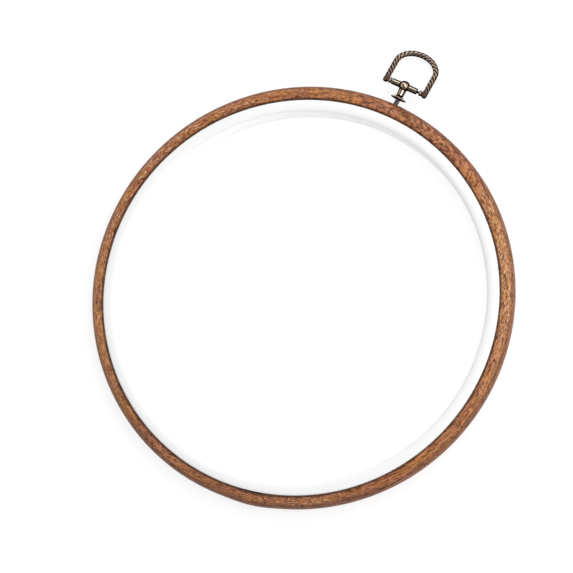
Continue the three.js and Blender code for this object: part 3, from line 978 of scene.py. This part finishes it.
def makeWhitePlastic(settings):
    material, tree = newMaterial("mouldedPolystyrene")
    place = addNode(tree, "TexCoord").outputs["Object"]
    flow = addNode(tree, "TexNoise", inputs={
        "Vector": place, "Scale": 1 / (settings["flow"] * mm), "Detail": 3}).outputs["Fac"]
    colour = addNode(tree, "Mix", mixColours, {
        0: flow, 6: linearColour(settings["shade"]), 7: linearColour(settings["colour"])}, 2)
    # Painted shade: a grey line just inside the bore's front edge, where the surface turns down into the wall
    bore = (innerHigh.x - innerLow.x) / 2 - (innerSettings["lipReach"] + innerSettings["width"]) * mm
    toMiddle = (-hoopCentre.x, ringSettings["settle"] * mm - hoopCentre.y, 0)
    level = addNode(tree, "VectorMath", multiplyAdd, {0: place, 1: (1, 1, 0), 2: toMiddle}, 0)
    reach = addNode(tree, "VectorMath", {"operation": "LENGTH"}, {0: level}, "Value")
    away = addNode(tree, "Math", subtract, {0: reach, 1: bore + settings["edgeShadeInset"] * mm}, 0)
    away = addNode(tree, "Math", absolute, {0: away}, 0)
    line = addNode(tree, "MapRange", softStep, {
        "Value": away, "From Max": settings["edgeShadeHalf"] * mm, "To Min": settings["edgeShadeShare"],
        "To Max": 0.0}, "Result")
    colour = addNode(tree, "Mix", mixColours, {
        0: line, 6: colour, 7: linearColour(settings["edgeShadeColour"])}, 2)
    bump = addNode(tree, "Bump", inputs={"Distance": settings["relief"] * mm, "Height": flow})
    shader = addNode(tree, "BsdfPrincipled", inputs={
        "Base Color": colour, "Roughness": settings["roughness"], "IOR": settings["refraction"],
        "Normal": bump.outputs["Normal"]})
    addNode(tree, "OutputMaterial", inputs={"Surface": shader.outputs["BSDF"]})
    return material


# Antiqued metal: a near-black patina, rubbed to brown and then to bright metal on the crests and on the front
# and back faces, where the polishing mop reached. The mop's way leans toward the camera, so the sides kept
# dark also stand in for shade: a painted dark rim round the outline. The patina is dull, the bared metal
# shines.
headMetalSettings = {
    "name": "antiquedCastBrass", "bright": "#EED8C2", "half": "#6E503E", "dark": "#120B08",
    "crestLow": 0.34, "crestHigh": 0.56, "faceLow": 0.7, "faceHigh": 0.9,
    "roughBright": 0.17, "roughDark": 0.6, "pitting": 0.9, "pitDepth": 0.35, "relief": 0.006}
loopMetalSettings = {
    "name": "antiquedRopeBrass", "bright": "#DCCCBC", "half": "#86695A", "dark": "#1E130E",
    "crestLow": 0.12, "crestHigh": 0.97, "faceLow": 0.5, "faceHigh": 0.95,
    "roughBright": 0.26, "roughDark": 0.6, "pitting": 1.6, "pitDepth": 0.7, "relief": 0.01}
stemMetalSettings = {
    "name": "rolledThreadSteel", "bright": "#B4AEB6", "half": "#7C7476", "dark": "#221D1B",
    "crestLow": 0.25, "crestHigh": 0.75, "faceLow": 0.3, "faceHigh": 0.9,
    "roughBright": 0.3, "roughDark": 0.6, "pitting": 0.5, "pitDepth": 0.3, "relief": 0.01}
wearSettings = {
    # leans toward the camera, so the dark sides also make a painted dark rim of shade
    "mopAndCameraWay": (0.13, 0.03, 0.99),   # the mop leaned a little to the right
    "rimLow": 1.0, "rimHigh": 2.0,  # a crest mark above 1 is a bare edge,
    "rimFaceLow": 0.05, "rimFaceHigh": 0.4,     # where it looks a little to the front or back
    "halfPlace": 0.45,              # of the brown, from patina to bare metal
    "metalFrom": 0.4,               # the wear that lets the metal itself show
}


def makeAntiquedMetal(settings):
    material, tree = newMaterial(settings["name"])
    wear = wearSettings
    crest = addNode(tree, "Attribute", {"attribute_name": "crest"}, out="Fac")
    coords = addNode(tree, "TexCoord")
    facing = addNode(tree, "VectorMath", {"operation": "DOT_PRODUCT"}, {
        0: coords.outputs["Normal"], 1: wear["mopAndCameraWay"]}, "Value")
    facing = addNode(tree, "Math", absolute, {0: facing}, 0)
    pits = addNode(tree, "TexNoise", inputs={
        "Vector": coords.outputs["Object"], "Scale": 1 / (settings["pitting"] * mm),
        "Detail": 3}, out="Fac")
    crestWorn = addNode(tree, "MapRange", softStep, {
        "Value": crest, "From Min": settings["crestLow"], "From Max": settings["crestHigh"]}, "Result")
    # Partly real rubbing of the front and back, partly painted shade: sides turned from this way stay dark as
    # a rim
    faceWornAndRimShade = addNode(tree, "MapRange", softStep, {
        "Value": facing, "From Min": settings["faceLow"], "From Max": settings["faceHigh"]}, "Result")
    rim = addNode(tree, "MapRange", softStep, {
        "Value": crest, "From Min": wear["rimLow"], "From Max": wear["rimHigh"]}, "Result")
    rimFace = addNode(tree, "MapRange", softStep, {
        "Value": facing, "From Min": wear["rimFaceLow"], "From Max": wear["rimFaceHigh"]}, "Result")
    rimWorn = addNode(tree, "Math", multiply, {0: rim, 1: rimFace}, 0)
    worn = addNode(tree, "Math", multiplyAdd, {0: crestWorn, 1: faceWornAndRimShade, 2: rimWorn}, 0)
    speckled = addNode(tree, "Math", subtract, {0: pits, 1: 0.5}, 0)
    worn = addNode(tree, "Math", {"operation": "MULTIPLY_ADD", "use_clamp": True}, {
        0: speckled, 1: settings["pitDepth"], 2: worn}, 0)
    colour = addNode(tree, "ValToRGB", {"stops": [
        (0.0, settings["dark"]), (wear["halfPlace"], settings["half"]), (1.0, settings["bright"])]}, {
            "Fac": worn}, "Color")
    rough = addNode(tree, "MapRange", softStep, {
        "Value": worn, "To Min": settings["roughDark"], "To Max": settings["roughBright"]}, "Result")
    bare = addNode(tree, "MapRange", softStep, {"Value": worn, "From Max": wear["metalFrom"]}, "Result")
    bump = addNode(tree, "Bump", inputs={"Distance": settings["relief"] * mm, "Height": pits})
    shader = addNode(tree, "BsdfPrincipled", inputs={
        "Base Color": colour, "Metallic": bare, "Roughness": rough, "Specular IOR Level": 0.0,
        "Normal": bump.outputs["Normal"]})
    addNode(tree, "OutputMaterial", inputs={"Surface": shader.outputs["BSDF"]})
    return material


makeGrainedRing(ringSettings, makeVinyl(vinylSettings))
makeInnerRing(innerSettings, makeWhitePlastic(whiteSettings))
makeHangerHead(headSettings, makeAntiquedMetal(headMetalSettings))
makeHangerStem(stemSettings, makeAntiquedMetal(stemMetalSettings))
makeHangerLoop(loopSettings, makeAntiquedMetal(loopMetalSettings))


# Floor, world and lamps

stageSettings = {
    "floorHalf": 3000,
    "floorDrop": 0.1,       # below the hoop's back, so that the faces don't share a plane
    "floorColour": "#FAFAFA",
    "shownShare": 0.3,      # how much of the floor's own shading the camera sees
    "shownGlow": 0.78,
    "skyHigh": 0.51,        # light of the sky straight above
    "skyLow": 1.3,          # and near the horizon, where the white backdrop stands
    "skyLean": 0.66,        # how much brighter it is on one side than all round
    "skyLeanTurn": 18,      # degrees above image right, where that side is
    "ceiling": 0.09,        # what metal mirrors from straight above, against 1 for the backdrop
    "endWall": 0.16,        # and from the walls that the stem points to
    "endWallSpread": 0.5,   # of those walls, as the square of a direction's X
    "backdropTop": 0.42,    # how high a mirrored direction rises where the backdrop ends
    "ceilingStart": 0.82,   # and where the ceiling is reached
}


# How far a ray belongs to the eye, a mirror or glass, which all see the white backdrop
def seenDirectly(tree):
    light = addNode(tree, "LightPath")
    seen = addNode(tree, "Math", maximum, {
        0: light.outputs["Is Camera Ray"], 1: light.outputs["Is Glossy Ray"]}, 0)
    return addNode(tree, "Math", maximum, {0: seen, 1: light.outputs["Is Transmission Ray"]}, 0)


def makeFloor(settings):
    material, tree = newMaterial("paperFloor")
    plain = addNode(tree, "BsdfDiffuse", inputs={"Color": linearColour(settings["floorColour"])})
    share = settings["shownShare"]
    shaded = addNode(tree, "BsdfDiffuse", inputs={"Color": (share, share, share, 1)})
    glow = addNode(tree, "Emission", inputs={"Color": (1, 1, 1, 1), "Strength": settings["shownGlow"]})
    shown = addNode(tree, "AddShader", inputs={0: shaded.outputs[0], 1: glow.outputs[0]})
    both = addNode(tree, "MixShader", inputs={
        0: seenDirectly(tree), 1: plain.outputs[0], 2: shown.outputs[0]})
    addNode(tree, "OutputMaterial", inputs={"Surface": both.outputs[0]})
    bm = bmesh.new()
    bmesh.ops.create_grid(bm, x_segments=1, y_segments=1, size=settings["floorHalf"] * mm)
    moveAll(bm, (0, 0, -settings["floorDrop"] * mm))
    floor = passingObject("floor", bm)
    floor.data.materials.append(material)


# The backdrop is white all round the horizon, for the eye and for metal, and the studio's
# ceiling above it is dimmer
def makeSky(settings):
    world = bpy.data.worlds.new("studio")
    world.use_nodes = True
    tree = world.node_tree
    tree.nodes.clear()
    way = addNode(tree, "TexCoord").outputs["Generated"]
    split = addNode(tree, "SeparateXYZ", inputs={0: way})
    rise = split.outputs["Z"]
    white = (1, 1, 1, 1)
    wall = addNode(tree, "Math", {"operation": "POWER"}, {0: split.outputs["X"], 1: 2.0}, 0)
    wall = addNode(tree, "MapRange", inputs={
        "Value": wall, "From Max": settings["endWallSpread"], "To Min": settings["endWall"],
        "To Max": 1.0}, out="Result")
    mirrored = addNode(tree, "MapRange", softStep, {
        "Value": rise, "From Min": settings["backdropTop"], "From Max": settings["ceilingStart"],
        "To Min": wall, "To Max": settings["ceiling"]})
    lit = addNode(tree, "MapRange", inputs={
        "Value": rise, "To Min": settings["skyLow"], "To Max": settings["skyHigh"]})
    flatRight, flatUp = levelWays()
    turn = math.radians(settings["skyLeanTurn"])
    bright = (math.cos(turn) * flatRight + math.sin(turn) * flatUp) * settings["skyLean"]
    lean = addNode(tree, "VectorMath", {"operation": "DOT_PRODUCT"}, {0: way, 1: bright}, "Value")
    lean = addNode(tree, "Math", add, {0: lean, 1: 1.0}, 0)
    strength = addNode(tree, "Math", multiply, {0: lit.outputs["Result"], 1: lean})
    soft = addNode(tree, "Background", inputs={"Color": white, "Strength": strength.outputs[0]})
    backdrop = addNode(tree, "Background", inputs={"Color": white, "Strength": mirrored.outputs["Result"]})
    both = addNode(tree, "MixShader", inputs={
        0: seenDirectly(tree), 1: soft.outputs[0], 2: backdrop.outputs[0]})
    addNode(tree, "OutputWorld", inputs={"Surface": both.outputs[0]})
    bpy.context.scene.world = world


# Lamps stand round the image: round is degrees clockwise from image right, high is degrees
# above the floor
lampSettings = {
    "topBox": {"round": -66, "high": 50, "distance": 900, "size": (800, 280), "watts": 1.3},
    "leftBox": {"round": 182, "high": 42, "distance": 800, "size": (90, 460), "watts": 0.22},
    "rightBox": {"round": 5, "high": 60, "distance": 800, "size": (110, 420), "watts": 0.8},
}


def makeLamp(name, settings):
    flatRight, flatUp = levelWays()
    around = math.radians(settings["round"])
    high = math.radians(settings["high"])
    way = math.cos(around) * flatRight - math.sin(around) * flatUp
    back = math.cos(high) * way + math.sin(high) * Vector((0, 0, 1))
    side = Vector((0, 0, 1)).cross(back).normalized()
    up = back.cross(side)
    data = bpy.data.lights.new(name, "AREA")
    data.shape = "RECTANGLE"
    data.size, data.size_y = (length * mm for length in settings["size"])
    data.energy = settings["watts"]
    lamp = bpy.data.objects.new(name, data)
    lamp.matrix_world = Matrix.Translation(back * settings["distance"] * mm) @ (
        Matrix((side, up, back)).transposed().to_4x4())
    bpy.context.scene.collection.objects.link(lamp)


makeFloor(stageSettings)
makeSky(stageSettings)
for lampName, lampValues in lampSettings.items():
    makeLamp(lampName, lampValues)
bpy.context.scene.view_settings.view_transform = "Standard"
print("stage and lamps made")
